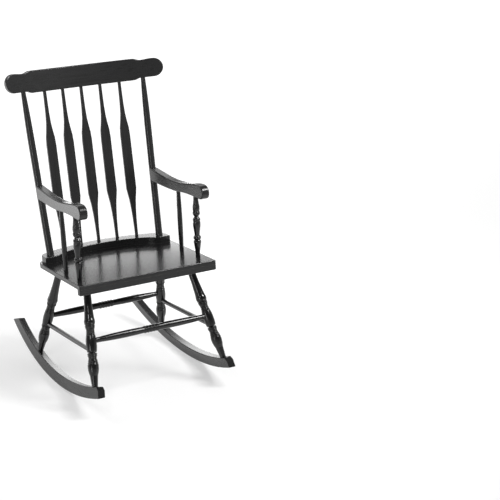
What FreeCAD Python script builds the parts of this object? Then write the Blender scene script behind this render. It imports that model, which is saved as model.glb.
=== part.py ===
import FreeCAD, Part
import math
import os

# Slat back rocking chair. Millimetres. The chair is drawn about its seat: x across, y from the
# front edge of the seat to the back, z up from the seat top. At the end the whole chair is tipped
# to the angle at which it balances on its rockers and set on the floor.
# Left and right are those of a person facing the chair.

V = FreeCAD.Vector
UP = V(0, 0, 1)
ACROSS = V(1, 0, 0)
BACK = V(0, 1, 0)

# Fits, and the size of the shapes that only cut
fit = 0.3                 # gap round every tenon, and under a shoulder on a curved face
past = 30.0               # how far a bore is drilled from outside the face it opens in
wide = 1600.0             # wider than the chair

# Seat panel, and the strip under its front edge
seat_half = 276.0
seat_depth = 474.0        # on the centre line
seat_thick = 15.0
seat_back_radius = 580.0
seat_corner = 68.0        # rear corners
seat_front_corner = 5.0
seat_round = 3.0          # rounding of the upper edge
seat_socket = 11.0        # depth of the sockets in the panel
strip_depth = 20.0
strip_height = 22.0
strip_round = 2.0         # rounding of the lower edges

# Curved rail along the back of the seat
rail_height = 26.0
rail_inset = 6.0          # set in from the back edge of the seat
rail_side = 15.0          # and from its sides
rail_depth = 58.0         # from the hollow front to the back of the seat, at the middle
rail_corner = 42.0        # rounding of the rear corners
rail_round = 2.0          # rounding of the upper edges
rail_front_radius = 402.0
rail_ear = 39.0           # straight front of each ear
rail_ear_ahead = 29.0     # how far the ear reaches in front of the post's centre
rail_bend = 57.0          # length of the curve between the hollow and the ear
rail_sweep = 26.0         # ease of that curve
rail_half = seat_half - rail_side
rail_front_mid = seat_depth - rail_depth
rail_ear_start = rail_half - rail_ear
rail_hollow_half = rail_ear_start - rail_bend

# Line of the slats on the rail
foot_inset = 31.0         # from the back of the seat, at the middle
foot_radius = 545.0
foot_mid = seat_depth - foot_inset

# Back posts
post_side = 47.0          # foot set in from the side of the seat
post_from_back = 97.0     # and from the back of the seat
post_spread = 17.5        # head further out than the foot
post_foot_x = seat_half - post_side
post_foot_y = seat_depth - post_from_back
post_head_x = post_foot_x + post_spread
post_radius = 13.5
post_mid_radius = 11.7
post_head_radius = 8.6
post_straight_share = 0.70
post_mid_share = 0.86
post_tenon = 6.5
post_tenon_depth = 22.0

# Crest rail
crest_thick = 21.0
crest_bow = 850.0         # radius of the bend, hollow to the front
crest_lean = 7.0          # degrees from the seat's upright
crest_behind = 32.0       # behind the back of the seat
crest_z = 624.0           # lower edge at the middle
crest_height = 83.0
crest_shoulder = 38.5     # straight middle ends this far inside the post
crest_ear_in = 8.5        # lower edge of the ear starts this far inside the post
crest_dip_in = 4.5        # and the waist beside it
crest_ear_out = 39.5      # centre of the round end outside the post
crest_ear_low = 7.0
crest_ear_high = 78.0
crest_ear_dip = 75.0      # height of the waist
crest_ease = 14.0         # ease of the curves at the ears
crest_round = 2.5         # rounding of the edges
crest_y = seat_depth + crest_behind
crest_body_half = post_head_x - crest_shoulder
crest_ear_start = post_head_x - crest_ear_in
crest_dip_x = post_head_x - crest_dip_in
crest_ear_centre = post_head_x + crest_ear_out

# Slats
slat_count = 5
slat_gather = 0.9375      # heads this much closer than an even spacing between the posts
slat_foot_pitch = 2 * post_foot_x / (slat_count + 1)
slat_head_pitch = 2 * post_head_x / (slat_count + 1) * slat_gather
slat_turn = 2.2           # degrees each slat is turned towards the middle
slat_tenon = 5.0
slat_tenon_depth = 18.0
# share of the length, half width, half thickness, corner radius
slat_sections = [
    (-0.02, 6.2, 6.2, 5.8),
    (0.05, 6.4, 6.2, 5.4),
    (0.12, 7.5, 6.0, 4.6),
    (0.18, 9.4, 5.7, 3.2),
    (0.24, 12.8, 5.2, 2.2),
    (0.285, 17.2, 4.9, 1.8),
    (0.315, 20.0, 4.8, 1.6),
    (0.66, 19.4, 4.8, 1.6),
    (0.71, 17.5, 4.8, 1.6),
    (0.755, 12.8, 5.2, 2.2),
    (0.80, 9.3, 5.6, 3.2),
    (0.86, 7.5, 5.9, 4.6),
    (0.93, 6.7, 6.1, 5.4),
    (1.02, 6.2, 6.2, 5.8),
]

# Arms
arm_width = 31.0
arm_side = 34.0           # front end set in from the side of the seat
arm_outside = 7.0         # rear end outside the foot of the post
arm_ahead = 3.0           # rear end in front of the line of the posts, before it is coped
arm_end_top = 292.5
arm_end_under = 244.5
arm_low = 233.5           # underside above the spindle
arm_front_x = seat_half - arm_side
arm_rear_x = post_foot_x + arm_outside
arm_end_y = foot_mid - arm_ahead
# side profile, three poles to each curve: over the top, round the nose, back underneath
arm_line = [
    [(330, 283.5), (290, 271.5), (210, 272)],
    [(120, 272.5), (80, 288.5), (25, 288.5)],
    [(2, 288.5), (-11, 278.5), (-11, 259.5)],
    [(-11, 245.5), (-2, 236.5), (14, 236.5)],
    [(60, 236.5), (60, 239.5), (100, 239.5)],
    [(170, 239.5), (180, arm_low), (230, arm_low)],
    [(310, arm_low), (380, 239), (arm_end_y, arm_end_under)],
]
arm_round = 4.0
arm_stop = 5.0            # arm ends this far in front of the post's centre line
arm_joint_z = 264.5       # height at which arm and post meet

# Turned post and plain spindle under each arm
arm_post_in = 0.5         # inside the front end of the arm
arm_post_foot_y = 78.0
arm_post_head_y = 71.0
arm_post_length = 235.5
arm_post_x = arm_front_x - arm_post_in
arm_socket = 16.0
# height above the seat, radius; four numbers make an arc through the first pair
arm_post_turning = [
    (0, 8.6), (16, 8.8), (30, 10.0), (55, 13.2), (63, 13.8, 69, 10.2), (77, 14.2, 85, 9.8),
    (92, 9.9), (116, 13.1), (129, 14.3, 142, 13.0), (148, 14.0, 154, 10.5), (158.5, 7.9),
    (163.5, 10.5), (171.5, 14.0, 178.5, 11.9), (189, 13.4, 206, 11.5), (222, 9.7), (arm_post_length, 9.2),
]
spindle_y = 207.0
spindle_end = 8.0
spindle_middle = 9.6
spindle_straight = 20.0   # plain length at each end

# Legs: where their centre lines meet the seat and the rockers
leg_side = 69.0           # heads set in from the sides of the seat
leg_from_front = 102.0    # and from its front and back
leg_from_back = 134.0
leg_foot_ahead = 40.0     # feet in front of and behind the seat
leg_foot_behind = 6.0
leg_tenon = 7.5
leg_tenon_depth = 18.0
leg_head_radius = 13.4
leg_length = 385.0
# distance up a leg of this length, radius
leg_turning = [
    (-12, 10.8), (0, 10.8), (40, 14.5), (70, 20.0, 97, 16.8), (105, 14.8), (116, 18.2, 124, 17.2),
    (152, 19.8, 186, 16.8), (205, 15.2), (211, 16.2), (217, 18.8, 223, 17.6), (232, 20.0, 244, 18.8),
    (260, 17.0), (300, 14.5), (370, leg_head_radius), (420, leg_head_radius),
]

# Stretchers: height below the seat top at each end
cross_front_z = -217.0
cross_rear_z = -224.5
side_front_z = -250.0
side_rear_z = -256.5
stretcher_straight = 24.0 # plain length at each end
stretcher_short = 6.0     # each end stops this far from the leg's centre line
side_end = 8.6
side_radius = 9.6
cross_end = 10.0
cross_radius = 13.4
cross_swell = 0.55        # share of the half length where the swell is thickest
ring_radius = 14.0
ring_neck = 11.0
ring_pitch = 12.0
ring_count = 5
ring_shoulder = 12.0

# Rockers
rocker_radius = 1094.0
rocker_height = 41.5
rocker_thick = 27.0
rocker_side = 1.0         # centre line on the floor, inside the side of the seat
rocker_lean = 9.0         # degrees the rockers lean in, square to the splayed legs
rocker_ahead = 1.8        # centre of the arc in front of the middle of the seat
rocker_centre_z = 648.7
rocker_front_angle = -18.0
rocker_rear_angle = 28.2
rocker_tail_slant = 46.0
rocker_tip_bevel = 14.0
rocker_round = 2.5        # rounding of the long edges
rocker_x = seat_half - rocker_side
rocker_centre_y = seat_depth / 2 - rocker_ahead

# Arm bolts
bolt_radius = 3.0
bolt_head = 6.5
bolt_head_height = 3.5
bolt_flat = 1.0           # depth of the flat cut for the head
bolt_room = 1.5           # room round the head
bolt_reach = 42.0         # into the arm, from the post's centre line

# Grams per cubic centimetre
wood_density = 0.65
steel_density = 7.85


def outline(start, *steps):
    """chain of edges in the plane: a pair is a line, four numbers an arc through the first pair"""
    edges = []
    here = V(start[0], start[1], 0)
    for step in steps:
        end = V(step[-2], step[-1], 0)
        if len(step) == 2:
            edges.append(Part.makeLine(here, end))
        else:
            edges.append(Part.Arc(here, V(step[0], step[1], 0), end).toShape())
        here = end
    return edges


def bezier(*poles):
    curve = Part.BezierCurve()
    curve.setPoles([V(x, y, 0) for x, y in poles])
    return curve.toShape()


def prism(edges, depth):
    """closed outline extruded upwards"""
    return Part.Face(Part.Wire(Part.__sortEdges__(edges))).extrude(V(0, 0, depth))


def turn(stations, stretch=1.0):
    """turned solid standing on the origin; stations are (height, radius) lines and arcs"""
    line = [tuple(v * stretch if k % 2 == 0 else v for k, v in enumerate(s)) for s in stations]
    foot = line[0][0]
    head = line[-1][-2]
    edges = outline(*line, (head, 0), (foot, 0), line[0])
    solid = Part.Face(Part.Wire(edges)).revolve(V(0, 0, 0), ACROSS, 360)
    solid.rotate(V(0, 0, 0), BACK, -90)
    return solid


def along(shape, start, end):
    """stand a shape drawn up the z axis on the line from start to end"""
    placed = shape.copy()
    placed.Placement = FreeCAD.Placement(start, FreeCAD.Rotation(UP, end - start)).multiply(shape.Placement)
    return placed


def rod(start, end, radius):
    return Part.makeCylinder(radius, (end - start).Length, start, end - start)


def bore(tip, mouth, radius):
    """hole for a round tenon, from just past its tip out through the face at the mouth"""
    way = (mouth - tip).normalize()
    return rod(tip - way * fit, mouth + way * past, radius + fit)


def mirrored(shape):
    return shape.mirror(V(0, 0, 0), ACROSS)


def slab(low, high):
    """everything between two levels parallel to the seat"""
    return Part.makeBox(wide, wide, high - low, V(-wide / 2, -wide / 2, low))


def on_edge(shape):
    """stand a flat outline drawn as (y, z) upright, its thickness along x"""
    shape.rotate(V(0, 0, 0), ACROSS, 90)
    shape.rotate(V(0, 0, 0), UP, 90)
    return shape


# Seat panel: straight sides, rounded rear corners, curved back edge.
back_centre = seat_depth - seat_back_radius
corner_x = seat_half - seat_corner
corner_y = back_centre + math.sqrt((seat_back_radius - seat_corner) ** 2 - corner_x ** 2)
corner_dir = V(corner_x, corner_y - back_centre, 0).normalize()
corner_end = V(0, back_centre, 0) + corner_dir * seat_back_radius
half_turn = math.atan2(corner_dir.y, corner_dir.x) / 2
corner_mid = (corner_x + seat_corner * math.cos(half_turn), corner_y + seat_corner * math.sin(half_turn))
front_x = seat_half - seat_front_corner
front_in = seat_front_corner * (1 - math.sqrt(0.5))
front_edge = [
    (front_x, 0),
    (seat_half - front_in, front_in, seat_half, seat_front_corner),
]
front_return = [
    (-seat_half, seat_front_corner),
    (-seat_half + front_in, front_in, -front_x, 0),
]
seat = prism(outline(
    (-front_x, 0), *front_edge,
    (seat_half, corner_y),
    (corner_mid[0], corner_mid[1], corner_end.x, corner_end.y),
    (0, seat_depth, -corner_end.x, corner_end.y),
    (-corner_mid[0], corner_mid[1], -seat_half, corner_y),
    *front_return), seat_thick)
seat.translate(V(0, 0, -seat_thick))
seat = seat.makeFillet(seat_round, [e for e in seat.Edges if e.BoundBox.ZMin > -seat_round])

# Strip glued under the front edge, cut to the same front corners.
strip = prism(outline(
    (-front_x, 0), *front_edge,
    (seat_half, strip_depth),
    (-seat_half, strip_depth),
    *front_return), strip_height)
strip = strip.makeFillet(strip_round, [e for e in strip.Edges if e.BoundBox.ZMax < fit])
strip.translate(V(0, 0, -seat_thick - strip_height))

# Back rail of the seat: hollow front, square-fronted ears, rear corners rounded like the seat's.
rail_ear_front = post_foot_y - rail_ear_ahead
rail_back_radius = seat_back_radius - rail_inset
rail_end_y = back_centre + math.sqrt(rail_back_radius ** 2 - rail_half ** 2)
hollow_centre = rail_front_mid - rail_front_radius
hollow_y = hollow_centre + math.sqrt(rail_front_radius ** 2 - rail_hollow_half ** 2)
hollow_slope = rail_hollow_half / (hollow_y - hollow_centre)
rail_edges = outline(
    (-rail_ear_start, rail_ear_front),
    (-rail_half, rail_ear_front),
    (-rail_half, rail_end_y),
    (0, back_centre + rail_back_radius, rail_half, rail_end_y),
    (rail_half, rail_ear_front),
    (rail_ear_start, rail_ear_front))
rail_edges += outline((-rail_hollow_half, hollow_y), (0, rail_front_mid, rail_hollow_half, hollow_y))
for side in (-1, 1):
    rail_edges.append(bezier(
        (side * rail_hollow_half, hollow_y),
        (side * (rail_hollow_half + rail_sweep), hollow_y - hollow_slope * rail_sweep),
        (side * (rail_ear_start - rail_sweep), rail_ear_front),
        (side * rail_ear_start, rail_ear_front)))
rail = prism(rail_edges, rail_height)
rail = rail.makeFillet(rail_corner, [
    e for e in rail.Edges
    if e.BoundBox.ZLength > rail_height / 2 and e.BoundBox.YMin > rail_end_y - fit
    and abs(e.BoundBox.XMin) > rail_half - fit])
rail = rail.makeFillet(rail_round, [e for e in rail.Edges if e.BoundBox.ZMin > rail_height - fit])

# Crest rail: a bent board sawn to an outline with a round ear at each end.
ear_mid = (crest_ear_low + crest_ear_high) / 2
ear_tip = crest_ear_centre + (crest_ear_high - crest_ear_low) / 2
face = outline((-crest_body_half, 0), (crest_body_half, 0))
face += outline((-crest_body_half, crest_height), (crest_body_half, crest_height))
for side in (-1, 1):
    face.append(bezier(
        (side * crest_body_half, 0), (side * (crest_body_half + crest_ease), 0),
        (side * (crest_ear_start - crest_ease), crest_ear_low), (side * crest_ear_start, crest_ear_low)))
    face += outline(
        (side * crest_ear_start, crest_ear_low), (side * crest_ear_centre, crest_ear_low),
        (side * ear_tip, ear_mid, side * crest_ear_centre, crest_ear_high))
    face.append(bezier(
        (side * crest_ear_centre, crest_ear_high), (side * (crest_ear_centre - crest_ease), crest_ear_high),
        (side * (crest_dip_x + crest_ease), crest_ear_dip), (side * crest_dip_x, crest_ear_dip)))
    face.append(bezier(
        (side * crest_dip_x, crest_ear_dip), (side * (crest_dip_x - crest_ease), crest_ear_dip),
        (side * (crest_body_half + crest_ease), crest_height), (side * crest_body_half, crest_height)))
board = prism(face, crest_bow)
board.rotate(V(0, 0, 0), ACROSS, 90)
board.translate(BACK * crest_thick)
bend_foot = V(0, -crest_bow, 0)
bend = Part.makeCylinder(crest_bow + crest_thick / 2, crest_height, bend_foot)
bend = bend.cut(Part.makeCylinder(crest_bow - crest_thick / 2, crest_height, bend_foot))
crest = board.common(bend)
crest = crest.makeFillet(crest_round, [
    e for e in crest.Edges if e.BoundBox.XLength + e.BoundBox.ZLength > fit])
crest_place = FreeCAD.Placement(V(0, crest_y, crest_z), FreeCAD.Rotation(ACROSS, -crest_lean))
crest.Placement = crest_place


def on_crest(x, height):
    """point on the middle surface of the bent board"""
    return crest_place.multVec(V(x, math.sqrt(crest_bow ** 2 - x ** 2) - crest_bow, height))


def above_crest_level(height):
    """space above a level drawn on the crest board"""
    block = slab(height, height + wide)
    block.Placement = crest_place.multiply(block.Placement)
    return block


def on_rail(x):
    """where a slat of this spacing stands on the rail"""
    return V(x, foot_mid - foot_radius + math.sqrt(foot_radius ** 2 - x ** 2), rail_height)


parts = {}

# Slats: flat paddles with round, narrow ends let into the rail and the crest.
for number in range(1, slat_count + 1):
    place = number - (slat_count + 1) / 2
    foot = on_rail(place * slat_foot_pitch)
    head = on_crest(place * slat_head_pitch, 0)
    length = (head - foot).Length
    reach = (head - foot).normalize()
    rings = []
    for share, w, t, r in slat_sections:
        d = r * (1 - math.sqrt(0.5))
        ring = Part.Wire(outline(
            (r - w, -t),
            (w - r, -t), (w - d, d - t, w, r - t),
            (w, t - r), (w - d, t - d, w - r, t),
            (r - w, t), (d - w, t - d, -w, t - r),
            (-w, r - t), (d - w, d - t, r - w, -t)))
        ring.translate(UP * share * length)
        rings.append(ring)
    slat = Part.makeLoft(rings, True, True)
    slat.rotate(V(0, 0, 0), UP, -place * slat_turn)
    slat = along(slat, foot, head)
    slat = slat.cut(slab(-wide, rail_height)).cut(above_crest_level(0))
    low = foot - reach * slat_tenon_depth
    high = head + reach * slat_tenon_depth
    parts["back_slat_%d" % number] = slat.fuse(rod(low, high, slat_tenon)).removeSplitter()
    rail = rail.cut(bore(low, foot, slat_tenon))
    crest = crest.cut(bore(high, head, slat_tenon))

# Back posts: round, tapered towards the crest; the foot goes through the rail into the seat.
post_foot = V(post_foot_x, post_foot_y, rail_height)
post_head = on_crest(post_head_x, crest_ear_low)
post_reach = (post_head - post_foot).normalize()
post_length = (post_head - post_foot).Length
post_end = post_foot - post_reach * ((rail_height + seat_socket) / post_reach.z + post_radius)
post = along(turn([
    (0, post_radius), (post_length * post_straight_share, post_radius),
    (post_length * post_mid_share, post_mid_radius, post_length, post_head_radius),
    (post_length + post_radius, post_head_radius)]), post_foot, post_head)
post = post.fuse(rod(post_end, post_foot, post_radius)).removeSplitter()
post = post.cut(slab(-wide, -seat_socket)).cut(above_crest_level(crest_ear_low))
post_tip = post_head + post_reach * post_tenon_depth
post = post.fuse(rod(post_foot, post_tip, post_tenon)).removeSplitter()
post_hole = bore(post_end, post_foot, post_radius)
post_socket = post_hole.common(slab(-seat_socket - fit, past))
head_hole = bore(post_tip, post_head, post_tenon)
rail = rail.cut(post_hole).cut(mirrored(post_hole))
seat = seat.cut(post_socket).cut(mirrored(post_socket))
crest = crest.cut(head_hole).cut(mirrored(head_hole))

# Arms: sawn to a scooped side profile with a rounded nose, coped round the post behind.
arm_profile = outline((arm_end_y, arm_end_under), (arm_end_y, arm_end_top))
here = (arm_end_y, arm_end_top)
for curve in arm_line:
    arm_profile.append(bezier(here, *curve))
    here = curve[-1]
arm = prism(arm_profile, arm_width)
arm = arm.makeFillet(arm_round, [
    e for e in arm.Edges if e.BoundBox.ZLength < arm_round and e.BoundBox.XMin < arm_end_y - fit])
arm = on_edge(arm)
arm.translate(V(-arm_width / 2, 0, 0))
arm_toe = math.atan((arm_front_x - arm_rear_x) / arm_end_y)
arm.rotate(V(0, 0, 0), UP, math.degrees(arm_toe))
arm.translate(V(arm_front_x, 0, 0))
post_at_arm = post_foot + post_reach * ((arm_joint_z - rail_height) / post_reach.z)
behind = Part.makeBox(wide, wide, wide, V(-wide / 2, -arm_stop, -wide / 2))
arm = arm.cut(along(behind, post_at_arm, post_head)).cut(rod(post_foot, post_head, post_radius + fit))

# Turned posts that carry the arms, leaning forward a little.
arm_post_foot = V(arm_post_x, arm_post_foot_y, 0)
arm_post_head = V(arm_post_x, arm_post_head_y, arm_post_length)
lean = (arm_post_head - arm_post_foot).normalize()
foot_pin = rod(arm_post_foot - lean * seat_thick, arm_post_head, arm_post_turning[0][1])
head_radius = arm_post_turning[-1][1]
head_pin_end = arm_post_head + lean * arm_socket
arm_post = along(turn(arm_post_turning), arm_post_foot, arm_post_head)
arm_post = arm_post.fuse(foot_pin.common(slab(-seat_socket, seat_socket)))
arm_post = arm_post.fuse(rod(arm_post_head - lean, head_pin_end, head_radius)).removeSplitter()

# Plain spindles behind them.
spindle_x = arm_front_x - math.tan(arm_toe) * spindle_y
spindle_foot = V(spindle_x, spindle_y, 0)
spindle_head = V(spindle_x, spindle_y, arm_low)
spindle = along(turn([
    (-seat_socket, spindle_end), (spindle_straight, spindle_end),
    (arm_low / 2, spindle_middle, arm_low - spindle_straight, spindle_end),
    (arm_low + arm_socket, spindle_end)]), spindle_foot, spindle_head)
spindle_tip = spindle_head + UP * arm_socket
for hole in (bore(arm_post_foot - lean * seat_thick, arm_post_foot, arm_post_turning[0][1]),
             bore(spindle_foot - UP * seat_thick, spindle_foot, spindle_end)):
    socket = hole.common(slab(-seat_socket - fit, past))
    seat = seat.cut(socket).cut(mirrored(socket))
arm = arm.cut(bore(head_pin_end, arm_post_head, head_radius))
arm = arm.cut(bore(spindle_tip, spindle_head, spindle_end))

# Bolts through the posts into the arms, their domed heads on a flat behind the post.
bolt_way = (-BACK + post_reach * BACK.dot(post_reach)).normalize()
bolt_seat = post_at_arm - bolt_way * (post_radius - bolt_flat)
bolt_tip = post_at_arm + bolt_way * bolt_reach
dome_radius = (bolt_head ** 2 + bolt_head_height ** 2) / (2 * bolt_head_height)
dome = Part.makeSphere(dome_radius, V(0, 0, bolt_head_height - dome_radius))
dome = dome.common(Part.makeCylinder(bolt_head, bolt_head_height))
bolt = rod(bolt_seat, bolt_tip, bolt_radius)
bolt = bolt.fuse(along(dome, bolt_seat, bolt_seat - bolt_way)).removeSplitter()
bolt_hole = bore(bolt_tip, bolt_seat, bolt_radius)
head_room = rod(bolt_seat, bolt_seat - bolt_way * past, bolt_head + bolt_room)
post = post.cut(bolt_hole).cut(head_room)
arm = arm.cut(bolt_hole)

# Rockers: boards sawn to an arc and leaned in, the edge below planed level; the front tip is
# bevelled above and the tail is cut on a slant.
rocker_middle = V(0, rocker_centre_y, rocker_centre_z)
floor = rocker_centre_z - rocker_radius
inner = rocker_radius - rocker_height
sawn = rocker_radius + rocker_thick * math.tan(math.radians(rocker_lean))


def on_arc(radius, degrees):
    angle = math.radians(degrees)
    return (rocker_centre_y + radius * math.sin(angle), rocker_centre_z - radius * math.cos(angle))


tail_top = rocker_rear_angle - math.degrees(rocker_tail_slant / inner)
bevel_top = rocker_front_angle + math.degrees(rocker_tip_bevel / inner)
rocker = on_edge(prism(outline(
    on_arc(sawn, rocker_front_angle),
    on_arc(sawn, 0) + on_arc(sawn, rocker_rear_angle),
    on_arc(inner, tail_top),
    on_arc(inner, 0) + on_arc(inner, bevel_top),
    on_arc(inner + rocker_tip_bevel, rocker_front_angle),
    on_arc(sawn, rocker_front_angle)), rocker_thick))
rocker.translate(V(rocker_x - rocker_thick / 2, 0, 0))
rocker.rotate(V(rocker_x, 0, floor), BACK, -rocker_lean)
rocker = rocker.common(Part.makeCylinder(rocker_radius, wide, rocker_middle, ACROSS))
rocker = rocker.makeFillet(rocker_round, [e for e in rocker.Edges if e.Length > rocker_radius / 2])

# Legs: four alike, raked out from the seat, a round tenon in the rocker at the foot.
lean_in = FreeCAD.Rotation(BACK, -rocker_lean)
leg_lines = {}
leg_rows = (("front", leg_from_front, -leg_foot_ahead),
            ("rear", seat_depth - leg_from_back, seat_depth + leg_foot_behind))
for row, head_y, foot_y in leg_rows:
    to_centre = V(0, rocker_centre_y - foot_y, math.sqrt(inner ** 2 - (rocker_centre_y - foot_y) ** 2))
    foot = lean_in.multVec(V(0, foot_y, rocker_radius - to_centre.z)) + V(rocker_x, 0, floor)
    head = V(seat_half - leg_side, head_y, -seat_thick)
    rake = (head - foot).normalize()
    leg = along(turn(leg_turning, (head - foot).Length / leg_length), foot, head)
    ground = along(slab(-wide, fit), foot, foot + lean_in.multVec(to_centre))
    leg = leg.cut(slab(-seat_socket, wide)).cut(ground)
    tip = foot - rake * leg_tenon_depth
    leg = leg.fuse(rod(tip, foot + rake * leg_tenon_depth, leg_tenon)).removeSplitter()
    parts["leg_%s_right" % row] = leg
    rocker = rocker.cut(bore(tip, foot, leg_tenon))
    socket = bore(head + rake * seat_thick, head, leg_head_radius).common(slab(-wide, -seat_socket + fit))
    seat = seat.cut(socket).cut(mirrored(socket))
    leg_lines[row] = (foot, rake)


def leg_point(row, z):
    foot, rake = leg_lines[row]
    return foot + rake * ((z - foot.z) / rake.z)


def let_in(row, start, end, radius):
    """bore a stretcher's socket in the right-hand leg of a row"""
    name = "leg_%s_right" % row
    mouth = start + (end - start).normalize() * past
    parts[name] = parts[name].cut(bore(start, mouth, radius))


# Front and rear stretchers: turned, with two swells and a group of rings in the middle.
for row, z in (("front", cross_front_z), ("rear", cross_rear_z)):
    right = leg_point(row, z) - ACROSS * stretcher_short
    left = V(-right.x, right.y, right.z)
    half = right.x
    ring_start = half - ring_pitch * ring_count / 2
    ring_end = half + ring_pitch * ring_count / 2
    turning = [(0, cross_end), (stretcher_straight, cross_end),
               (half * cross_swell, cross_radius, ring_start, ring_shoulder), (ring_start, ring_neck)]
    for ring in range(ring_count):
        start = ring_start + ring * ring_pitch
        turning.append((start + ring_pitch / 2, ring_radius, start + ring_pitch, ring_neck))
    turning += [(ring_end, ring_shoulder),
                (half * (2 - cross_swell), cross_radius, 2 * half - stretcher_straight, cross_end),
                (2 * half, cross_end)]
    parts["%s_stretcher" % row] = along(turn(turning), left, right)
    let_in(row, right, left, cross_end)

# Side stretchers: plain rods, a little thicker in the middle.
side_a = leg_point("front", side_front_z)
side_b = leg_point("rear", side_rear_z)
side_way = (side_b - side_a).normalize()
side_a = side_a + side_way * stretcher_short
side_b = side_b - side_way * stretcher_short
side_length = (side_b - side_a).Length
side_rod = along(turn([
    (0, side_end), (stretcher_straight, side_end),
    (side_length / 2, side_radius, side_length - stretcher_straight, side_end),
    (side_length, side_end)]), side_a, side_b)
let_in("front", side_a, side_b, side_end)
let_in("rear", side_b, side_a, side_end)

# Pieces that come in pairs, and the single ones.
for name, shape in (("back_post", post), ("arm", arm), ("arm_post", arm_post), ("arm_spindle", spindle),
                    ("rocker", rocker), ("side_stretcher", side_rod)):
    parts[name + "_right"] = shape
    parts[name + "_left"] = mirrored(shape)
for row in leg_lines:
    parts["leg_%s_left" % row] = mirrored(parts["leg_%s_right" % row])
parts["seat_panel"] = seat
parts["seat_front_strip"] = strip
parts["seat_back_rail"] = rail
parts["crest_rail"] = crest
parts["arm_bolts"] = Part.makeCompound([bolt, mirrored(bolt)])

# Balance: the centre of mass comes to rest straight under the centre of the rocker arcs.
mass = 0.0
moment = V(0, 0, 0)
for name, shape in parts.items():
    for solid in shape.Solids:
        weight = solid.Volume * (steel_density if name == "arm_bolts" else wood_density)
        mass += weight
        moment += solid.CenterOfMass * weight
balance = moment * (1 / mass)
tilt = math.degrees(math.atan2(balance.y - rocker_centre_y, rocker_centre_z - balance.z))
for shape in parts.values():
    shape.rotate(rocker_middle, ACROSS, -tilt)
boxes = [shape.optimalBoundingBox(False, False) for shape in parts.values()]
front = min(box.YMin for box in boxes)
back = max(box.YMax for box in boxes)
os.makedirs("parts", exist_ok=True)
for name, shape in parts.items():
    shape.translate(V(0, -(front + back) / 2, -floor))
    shape.exportStep("parts/%s.step" % name)
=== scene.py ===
import math

import bpy
from mathutils import Euler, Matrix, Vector


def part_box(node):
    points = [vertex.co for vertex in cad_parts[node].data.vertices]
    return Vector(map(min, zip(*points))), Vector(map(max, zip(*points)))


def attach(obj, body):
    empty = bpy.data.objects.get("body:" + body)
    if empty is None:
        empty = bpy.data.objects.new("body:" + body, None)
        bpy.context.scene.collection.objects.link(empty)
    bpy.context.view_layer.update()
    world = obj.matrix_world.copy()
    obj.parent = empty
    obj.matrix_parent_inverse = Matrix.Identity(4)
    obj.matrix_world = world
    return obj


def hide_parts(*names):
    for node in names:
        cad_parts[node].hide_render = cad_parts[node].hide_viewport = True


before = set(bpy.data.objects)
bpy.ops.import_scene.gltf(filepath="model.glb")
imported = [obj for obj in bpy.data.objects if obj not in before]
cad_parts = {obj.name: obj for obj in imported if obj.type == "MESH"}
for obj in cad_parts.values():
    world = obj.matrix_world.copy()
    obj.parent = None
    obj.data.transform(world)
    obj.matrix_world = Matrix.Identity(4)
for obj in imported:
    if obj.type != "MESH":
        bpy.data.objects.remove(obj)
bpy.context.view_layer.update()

# The seat panel is a board of hardwood, 15 mm thick, glued up from strips that run from side to side.
# Its upper edge is rounded over, and its back edge and rear corners are sawn to curves.
# Like every wooden piece it is sprayed black; as it is broad and flat, it is rubbed down between coats.
MM = 0.001
across = (1, 0, 0)            # the way the grain runs
rubbed_down = (0.20, 0.22)    # roughness over the darker and over the paler bands of the wood


def linear(hex_colour):
    """sRGB hex to the linear colour that a shader takes"""
    shares = [int(hex_colour[k:k + 2], 16) / 255 for k in (1, 3, 5)]
    return tuple(s / 12.92 if s <= 0.04045 else ((s + 0.055) / 1.055) ** 2.4 for s in shares) + (1.0,)


def add(tree, kind, inputs=None, **settings):
    """one node with its settings; an input is either a value or the socket that feeds it"""
    node = tree.nodes.new(kind)
    for name, value in settings.items():
        setattr(node, name, value)
    for name, value in (inputs or {}).items():
        if isinstance(value, bpy.types.NodeSocket):
            tree.links.new(value, node.inputs[name])
        else:
            node.inputs[name].default_value = value
    return node


# A Mix node that mixes colours takes them in the first two of these sockets and gives the third.
COLOUR_A = 6
COLOUR_B = 7
MIXED = 2


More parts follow.
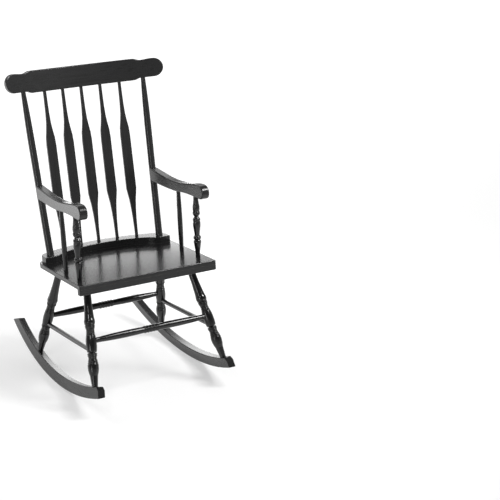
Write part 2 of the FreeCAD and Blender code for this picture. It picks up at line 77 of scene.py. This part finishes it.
def black_lacquer(piece, grain, sheen=(0.25, 0.28)):
    """Black satin lacquer sprayed on open-grained hardwood. To the eye it is nearly black, mirrors at a
    low angle, shows the pores as fine dull streaks along the grain, and is rubbed a little at edges."""
    dark_band = linear("#111112")
    pale_band = linear("#1d1d1d")
    in_pores = linear("#0d0d0d")
    rubbed = linear("#4a4641")
    band = 14 * MM            # width of the bands of the wood under the paint
    band_run = 320 * MM
    pore = 6 * MM             # real pores are about 0.3 mm wide, too fine to show, and are drawn coarser
    pore_run = 260 * MM
    pore_depth = 0.0005 * MM
    pore_starts = 0.54        # level of the streaks where a pore begins
    pore_full = 0.72
    pore_dulls = 0.02         # roughness that a pore adds
    peel = 3.5 * MM           # ripple left by the spray gun
    peel_depth = 0.0002 * MM
    edge = 1.6 * MM           # how far in from an edge the paint is rubbed
    edge_starts = 0.985       # cosine of the turn from the face to the rounded edge
    edge_full = 0.80
    edge_samples = 6
    rub = 14 * MM             # width of a rubbed patch along an edge
    rub_starts = 0.42
    rub_full = 0.68
    rub_dulls = 0.15

    material = bpy.data.materials.new("black_lacquer_" + piece)
    material.use_nodes = True
    tree = material.node_tree
    tree.nodes.clear()
    place = add(tree, "ShaderNodeTexCoord").outputs["Object"]
    turn = Vector((0, 0, 1)).rotation_difference(Vector(grain)).to_euler()

    banded = add(tree, "ShaderNodeMapping", {
        "Vector": place, "Rotation": turn, "Scale": (1, 1, band_run / band)}, vector_type="TEXTURE")
    bands = add(tree, "ShaderNodeTexNoise", {
        "Vector": banded.outputs[0], "Scale": 1 / band, "Detail": 2}).outputs[0]
    streaked = add(tree, "ShaderNodeMapping", {
        "Vector": place, "Rotation": turn, "Scale": (1, 1, pore_run / pore)}, vector_type="TEXTURE")
    streaks = add(tree, "ShaderNodeTexNoise", {
        "Vector": streaked.outputs[0], "Scale": 1 / pore, "Detail": 0}).outputs[0]
    pores = add(tree, "ShaderNodeMapRange", {
        "Value": streaks, "From Min": pore_starts, "From Max": pore_full}).outputs[0]
    ripple = add(tree, "ShaderNodeTexNoise", {
        "Vector": place, "Scale": 1 / peel, "Detail": 1}).outputs[0]

    soft = add(tree, "ShaderNodeBevel", {"Radius": edge}, samples=edge_samples).outputs[0]
    true = add(tree, "ShaderNodeNewGeometry").outputs["Normal"]
    facing = add(tree, "ShaderNodeVectorMath", {0: soft, 1: true}, operation="DOT_PRODUCT")
    corner = add(tree, "ShaderNodeMapRange", {
        "Value": facing.outputs["Value"], "From Min": edge_starts, "From Max": edge_full}).outputs[0]
    rubbing = add(tree, "ShaderNodeTexNoise", {
        "Vector": place, "Scale": 1 / rub, "Detail": 4}).outputs[0]
    patches = add(tree, "ShaderNodeMapRange", {
        "Value": rubbing, "From Min": rub_starts, "From Max": rub_full}).outputs[0]
    worn = add(tree, "ShaderNodeMath", {0: corner, 1: patches}, operation="MULTIPLY").outputs[0]

    paint = add(tree, "ShaderNodeMix", {
        "Factor": bands, COLOUR_A: dark_band, COLOUR_B: pale_band}, data_type="RGBA").outputs[MIXED]
    coat = add(tree, "ShaderNodeMix", {
        "Factor": pores, COLOUR_A: paint, COLOUR_B: in_pores}, data_type="RGBA").outputs[MIXED]
    colour = add(tree, "ShaderNodeMix", {
        "Factor": worn, COLOUR_A: coat, COLOUR_B: rubbed}, data_type="RGBA").outputs[MIXED]

    gloss = add(tree, "ShaderNodeMapRange", {
        "Value": bands, "To Min": sheen[0], "To Max": sheen[1]}).outputs[0]
    dull = add(tree, "ShaderNodeMath", {0: pores, 1: pore_dulls, 2: gloss}, operation="MULTIPLY_ADD")
    rough = add(tree, "ShaderNodeMath", {
        0: worn, 1: rub_dulls, 2: dull.outputs[0]}, operation="MULTIPLY_ADD").outputs[0]

    rippled = add(tree, "ShaderNodeBump", {
        "Height": ripple, "Distance": peel_depth, "Strength": 1.0}).outputs[0]
    surface = add(tree, "ShaderNodeBump", {
        "Height": pores, "Distance": pore_depth, "Strength": 1.0, "Normal": rippled}, invert=True)
    shader = add(tree, "ShaderNodeBsdfPrincipled", {
        "Base Color": colour, "Roughness": rough, "IOR": 1.5, "Normal": surface.outputs[0]})
    add(tree, "ShaderNodeOutputMaterial", {"Surface": shader.outputs[0]})
    return material


def dress(material, *nodes):
    """give pieces of the frame their finish"""
    for name in nodes:
        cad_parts[name].material_slots[0].material = material


dress(black_lacquer("seat", across, rubbed_down), "seat_panel")

# The front strip is a square batten of the same wood, glued under the front edge of the seat so that
# the edge looks more than twice as thick as the board is. Its grain runs along it.
dress(black_lacquer("strip", across), "seat_front_strip")

# The back rail is sawn from thick stock to the curve of the seat, with a square-fronted ear at each
# end, and glued on the seat. The slats and posts stand in holes in its top.
dress(black_lacquer("rail", across), "seat_back_rail")

# The legs are turned from square stock, with long swells and four groups of fine beads, and let into
# the seat and the rockers with round tenons. Each leans its own way, so each is turned about its own
# line: the outline is that of its solid, and the grooves between the beads are cut in it here.
turned = (0.13, 0.18)         # roughness: turned work is sanded finer than boards, so it shines more
bead_groups = [109.7 * MM, 134.8 * MM, 213.6 * MM, 237.8 * MM]    # middle bead, from the tenon's tip
beads = 3                     # in each group
bead_pitch = 6.4 * MM
groove_depth = 3.2 * MM       # finer ones wouldn't show, so they are cut deep
fine_step = 0.6 * MM          # from ring to ring of the mesh along the beads
fine_reach = 1.6 * bead_pitch     # each way from a middle bead
plain_step = 1.5 * MM         # from ring to ring along the swells
head_short = 3.6 * MM         # the head stops inside the seat
facets = 40


def leg_line(solid):
    """middle of the lower tenon's end, and the direction from there to the head"""
    tenon_zone = 10 * MM
    square = 0.999            # cosine of faces that lie square to the line
    low = min(v.co.z for v in solid.vertices)
    ends = [f for f in solid.polygons if f.center.z < low + tenon_zone]
    line = -min((f.normal.copy() for f in ends), key=lambda normal: normal.z)
    flat = [f for f in ends if f.normal.dot(line) < -square]
    tip = sum((f.center * f.area for f in flat), Vector()) / sum(f.area for f in flat)
    return tip, line


def leg_outline(solid, tip, line):
    """largest radius of a leg's solid at each step along its line; the walls of its bores are left out"""
    line_clear = 1 * MM
    outward = 0.5
    outline = {}
    for vertex in solid.vertices:
        reach = vertex.co - tip
        height = reach.dot(line)
        out = reach - line * height
        if out.length > line_clear and vertex.normal.dot(out.normalized()) > outward:
            step = round(height / plain_step)
            outline[step] = max(outline.get(step, 0.0), out.length)
    return outline


def turned_radius(outline, height):
    """the outline's radius at a height, less the groove where there is one"""
    steps = sorted(outline)
    place = min(max(height / plain_step, steps[0]), steps[-1])
    after = next(k for k in steps if k >= place)
    before = max((k for k in steps if k <= place), default=after)
    share = (place - before) / (after - before) if after > before else 0.0
    radius = outline[before] * (1 - share) + outline[after] * share
    for middle in bead_groups:
        bead = (height - middle) / bead_pitch
        if abs(bead) < beads / 2:
            off = 2 * (bead - round(bead))
            radius -= groove_depth * (1 - math.sqrt(max(0.0, 1 - off * off)))
    return radius


def turned_leg(name, solid, tip, line):
    """a lathe mesh about the leg's own line, closed at both ends"""
    outline = leg_outline(solid, tip, line)
    top = max((v.co - tip).dot(line) for v in solid.vertices) - head_short
    heights = [0.0]
    while heights[-1] < top:
        near = min(abs(heights[-1] - middle) for middle in bead_groups)
        heights.append(heights[-1] + (fine_step if near < fine_reach else plain_step))
    heights[-1] = top

    side = line.orthogonal().normalized()
    other = line.cross(side)
    rim = [2 * math.pi * k / facets for k in range(facets)]
    points = []
    for height in heights:
        radius = turned_radius(outline, height)
        centre = tip + line * height
        points += [centre + (side * math.cos(a) + other * math.sin(a)) * radius for a in rim]
    faces = [tuple(reversed(range(facets))), tuple(range(len(points) - facets, len(points)))]
    for ring in range(len(heights) - 1):
        for k in range(facets):
            here = ring * facets + k
            beside = ring * facets + (k + 1) % facets
            faces.append((here, beside, beside + facets, here + facets))
    mesh = bpy.data.meshes.new(name)
    mesh.from_pydata(points, [], faces)
    mesh.shade_smooth()
    return mesh


for row in ("front", "rear"):
    for hand in ("left", "right"):
        leg = "leg_%s_%s" % (row, hand)
        leg_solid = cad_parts[leg].data
        leg_tip, leg_way = leg_line(leg_solid)
        leg_mesh = turned_leg("turned_" + leg, leg_solid, leg_tip, leg_way)
        leg_mesh.materials.append(black_lacquer(leg, leg_way, turned))
        piece = bpy.data.objects.new("turned_" + leg, leg_mesh)
        bpy.context.scene.collection.objects.link(piece)
        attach(piece, "root")
        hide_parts(leg)

# The front and rear stretchers are turned, with two swells and a group of rings in the middle; the
# side stretchers are plain rods. All are let into holes in the legs.
back = (0, 1, 0)
dress(black_lacquer("cross_stretchers", across, turned), "front_stretcher", "rear_stretcher")
dress(black_lacquer("side_stretchers", back, turned), "side_stretcher_left", "side_stretcher_right")

# The rockers are boards sawn to an arc, which take the tenons of the legs. The grain runs straight
# from front to back through the arc, so it crosses the sawn edges at the two ends.
dress(black_lacquer("rockers", back), "rocker_left", "rocker_right")

# The back posts are round rods, tapered towards the crest. They go through the rail into the seat and
# lean back and outwards, so the grain of each follows its own line.


def line_of(node):
    """direction of a long slanting piece, from its lower end to its upper end"""
    end_zone = 20 * MM
    points = [v.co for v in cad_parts[node].data.vertices]
    ends = []
    for level in (min(p.z for p in points), max(p.z for p in points)):
        ring = [p for p in points if abs(p.z - level) < end_zone]
        ends.append(sum(ring, Vector()) / len(ring))
    return (ends[1] - ends[0]).normalized()


for hand in ("left", "right"):
    post = "back_post_" + hand
    dress(black_lacquer(post, line_of(post)), post)

# The slats are flat paddles shaped from straight strips, with a round narrow end let into the rail
# and another into the crest. The middle one gives the line of the grain for all.
slats = ["back_slat_%d" % number for number in (1, 2, 3, 4, 5)]
middle_slat = slats[2]
dress(black_lacquer("slats", line_of(middle_slat)), *slats)

# The crest rail is a bent board with a round ear at each end. It closes the back above and takes the
# upper ends of the posts and slats.
dress(black_lacquer("crest", across), "crest_rail")

# Each arm is carried by a turned post in front and a plain spindle behind it. Both are turned from
# straight stock and stand in holes in the seat.
upright = (0, 0, 1)
dress(black_lacquer("arm_posts", upright, turned), "arm_post_left", "arm_post_right")
dress(black_lacquer("arm_spindles", upright, turned), "arm_spindle_left", "arm_spindle_right")

# The arms are sawn from thick stock to a scooped profile with a rounded nose. They sit on the posts
# and spindles, and are coped round the back posts.
dress(black_lacquer("arms", back), "arm_left", "arm_right")

# Each arm is held to its back post by one steel bolt with a domed head. The bolts are blackened so
# that they don't show against the paint.


def black_oxide_steel():
    """Blackened steel. To the eye it is dark, with a soft metal shine and faint handling marks."""
    dark = linear("#2b2b2d")
    pale = linear("#434346")
    mark = 1.5 * MM
    shiny = 0.28
    dull = 0.45
    material = bpy.data.materials.new("black_oxide_steel")
    material.use_nodes = True
    tree = material.node_tree
    tree.nodes.clear()
    place = add(tree, "ShaderNodeTexCoord").outputs["Object"]
    marks = add(tree, "ShaderNodeTexNoise", {
        "Vector": place, "Scale": 1 / mark, "Detail": 4}).outputs[0]
    colour = add(tree, "ShaderNodeMix", {
        "Factor": marks, COLOUR_A: dark, COLOUR_B: pale}, data_type="RGBA").outputs[MIXED]
    rough = add(tree, "ShaderNodeMapRange", {"Value": marks, "To Min": shiny, "To Max": dull}).outputs[0]
    shader = add(tree, "ShaderNodeBsdfPrincipled", {
        "Base Color": colour, "Metallic": 1.0, "Roughness": rough})
    add(tree, "ShaderNodeOutputMaterial", {"Surface": shader.outputs[0]})
    return material


dress(black_oxide_steel(), "arm_bolts")

# The floor is plain, pale and matt, and takes the chair's shadow. What the camera and shiny faces see
# of it is lifted towards white: most behind the chair, and little far in front of it.
floor_half = 20.0             # metres, as are all lengths from here on
lift_far_front = 0.12
lift_at_chair = 0.46
lift_behind = 0.95
front_ends = -2.6             # the lift grows from here
chair_starts = -0.5
behind_starts = 4.0

floor_mesh = bpy.data.meshes.new("floor")
floor_corners = [(-1, -1), (1, -1), (1, 1), (-1, 1)]
floor_mesh.from_pydata([(x * floor_half, y * floor_half, 0) for x, y in floor_corners], [], [(0, 1, 2, 3)])
floor = bpy.data.objects.new("floor", floor_mesh)
bpy.context.scene.collection.objects.link(floor)
white_floor = bpy.data.materials.new("white_floor")
white_floor.use_nodes = True
tree = white_floor.node_tree
tree.nodes.clear()
matt = add(tree, "ShaderNodeBsdfDiffuse", {"Color": linear("#bcbcbc")})
path = add(tree, "ShaderNodeLightPath").outputs
mirrored = add(tree, "ShaderNodeMath", {
    0: path["Is Glossy Ray"], 1: path["Is Transmission Ray"]}, operation="MAXIMUM").outputs[0]
seen = add(tree, "ShaderNodeMath", {0: path["Is Camera Ray"], 1: mirrored}, operation="MAXIMUM").outputs[0]
place = add(tree, "ShaderNodeTexCoord").outputs["Object"]
depth = add(tree, "ShaderNodeSeparateXYZ", {0: place}).outputs["Y"]
near = add(tree, "ShaderNodeMapRange", {
    "Value": depth, "From Min": front_ends, "From Max": chair_starts,
    "To Min": lift_far_front, "To Max": lift_at_chair}, interpolation_type="SMOOTHSTEP").outputs[0]
fade = add(tree, "ShaderNodeMapRange", {
    "Value": depth, "From Min": chair_starts, "From Max": behind_starts,
    "To Min": near, "To Max": lift_behind}, interpolation_type="SMOOTHSTEP").outputs[0]
lift = add(tree, "ShaderNodeMath", {0: seen, 1: fade}, operation="MULTIPLY").outputs[0]
glow = add(tree, "ShaderNodeEmission", {"Color": linear("#ffffff"), "Strength": lift})
both = add(tree, "ShaderNodeAddShader", {0: matt.outputs[0], 1: glow.outputs[0]})
add(tree, "ShaderNodeOutputMaterial", {"Surface": both.outputs[0]})
floor_mesh.materials.append(white_floor)

# The studio round the chair is white cloth, softly lit. It is dim all round, a little brighter low in
# front, and has one bright band on the wall behind, which shines in the upper faces of the chair.
# A pair gives where a change starts and ends, as the Y or Z of the direction looked in.
front_low = 0.52
front_high = 0.10
front_climb = (0.15, 0.40)
back_wall = 0.30
front_to_back = (-0.5, 0.5)
band_strength = 2.1
band_side = (0.3, 0.8)
band_foot = (0.24, 0.40)
band_head = (0.64, 0.40)

world = bpy.data.worlds.new("studio")
bpy.context.scene.world = world
world.use_nodes = True
tree = world.node_tree
tree.nodes.clear()
direction = add(tree, "ShaderNodeTexCoord").outputs["Generated"]
towards = add(tree, "ShaderNodeSeparateXYZ", {0: direction}).outputs
front = add(tree, "ShaderNodeMapRange", {
    "Value": towards["Z"], "From Min": front_climb[0], "From Max": front_climb[1],
    "To Min": front_low, "To Max": front_high}, interpolation_type="SMOOTHSTEP").outputs[0]
around = add(tree, "ShaderNodeMapRange", {
    "Value": towards["Y"], "From Min": front_to_back[0], "From Max": front_to_back[1],
    "To Min": front, "To Max": back_wall}, interpolation_type="SMOOTHSTEP").outputs[0]
behind = add(tree, "ShaderNodeMapRange", {
    "Value": towards["Y"], "From Min": band_side[0], "From Max": band_side[1],
    "To Min": 0.0, "To Max": band_strength}, interpolation_type="SMOOTHSTEP").outputs[0]
below_head = add(tree, "ShaderNodeMapRange", {
    "Value": towards["Z"], "From Min": band_head[0], "From Max": band_head[1]},
    interpolation_type="SMOOTHSTEP").outputs[0]
band = add(tree, "ShaderNodeMapRange", {
    "Value": towards["Z"], "From Min": band_foot[0], "From Max": band_foot[1],
    "To Max": below_head}, interpolation_type="SMOOTHSTEP").outputs[0]
studio = add(tree, "ShaderNodeMath", {0: behind, 1: band, 2: around}, operation="MULTIPLY_ADD").outputs[0]
cloth = add(tree, "ShaderNodeBackground", {"Color": linear("#ffffff"), "Strength": studio})
add(tree, "ShaderNodeOutputWorld", {"Surface": cloth.outputs[0]})

# Seven softboxes light the chair. Two hang overhead and one high on the right, like a window. Two low
# panels stand behind the chair, to shine in the seat and in the rockers' sides, and a small box and a
# strip on the left draw the bright lines down the turned legs.


def softbox(name, at, aim, width, height, watts):
    """a rectangular lamp that faces its aim; the camera doesn't see the lamp itself"""
    lamp = bpy.data.lights.new(name, "AREA")
    lamp.shape = "RECTANGLE"
    lamp.size = width
    lamp.size_y = height
    lamp.energy = watts
    holder = bpy.data.objects.new(name, lamp)
    holder.location = at
    holder.rotation_euler = (Vector(aim) - Vector(at)).to_track_quat("-Z", "Y").to_euler()
    holder.visible_camera = False
    bpy.context.scene.collection.objects.link(holder)


softbox("overhead", at=(1.65, -1.70, 3.0), aim=(0.0, -1.0, 0.3), width=0.5, height=1.8, watts=80.0)
softbox("back_overhead", at=(-1.2, 1.8, 2.6), aim=(-0.9, 1.2, 0.0), width=1.2, height=1.2, watts=24.0)
softbox("back_panel", at=(0.60, 1.20, 0.40), aim=(0.0, 0.1, 0.40), width=1.0, height=0.56, watts=6.4)
softbox("left_panel", at=(-1.15, 1.3, 0.32), aim=(-0.25, 0.0, 0.7), width=0.75, height=0.5, watts=2.1)
softbox("right_window", at=(4.40, -3.95, 5.80), aim=(0.0, -0.2, 0.3), width=3.0, height=1.1, watts=200.0)
softbox("left_front", at=(-1.5, -1.7, 2.3), aim=(0.0, 0.0, 0.4), width=0.40, height=0.40, watts=9.0)
softbox("left_strip", at=(-3.2, -1.9, 0.95), aim=(0.0, 0.0, 0.4), width=0.35, height=1.3, watts=14.0)

# The camera looks down at the chair from its left front with a long lens. Its place is measured from
# the middle of the front edge of the seat.
camera_from_seat = Vector((-2.1054, -4.3564, 1.8178))
camera_azimuth = 30.113       # degrees
camera_elevation = 19.710
film_width = 36.0             # millimetres
focal_length = 102.24
far_clip = 100.0

seat_low, seat_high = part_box("seat_panel")
lens = bpy.data.cameras.new("camera")
lens.sensor_width = film_width
lens.lens = focal_length
lens.clip_end = far_clip
camera = bpy.data.objects.new("camera", lens)
camera.location = Vector((0, seat_low.y, seat_high.z)) + camera_from_seat
camera.rotation_euler = Euler((math.radians(90 - camera_elevation), 0, math.radians(-camera_azimuth)))
bpy.context.scene.collection.objects.link(camera)
bpy.context.scene.camera = camera
bpy.context.scene.view_settings.view_transform = "Standard"
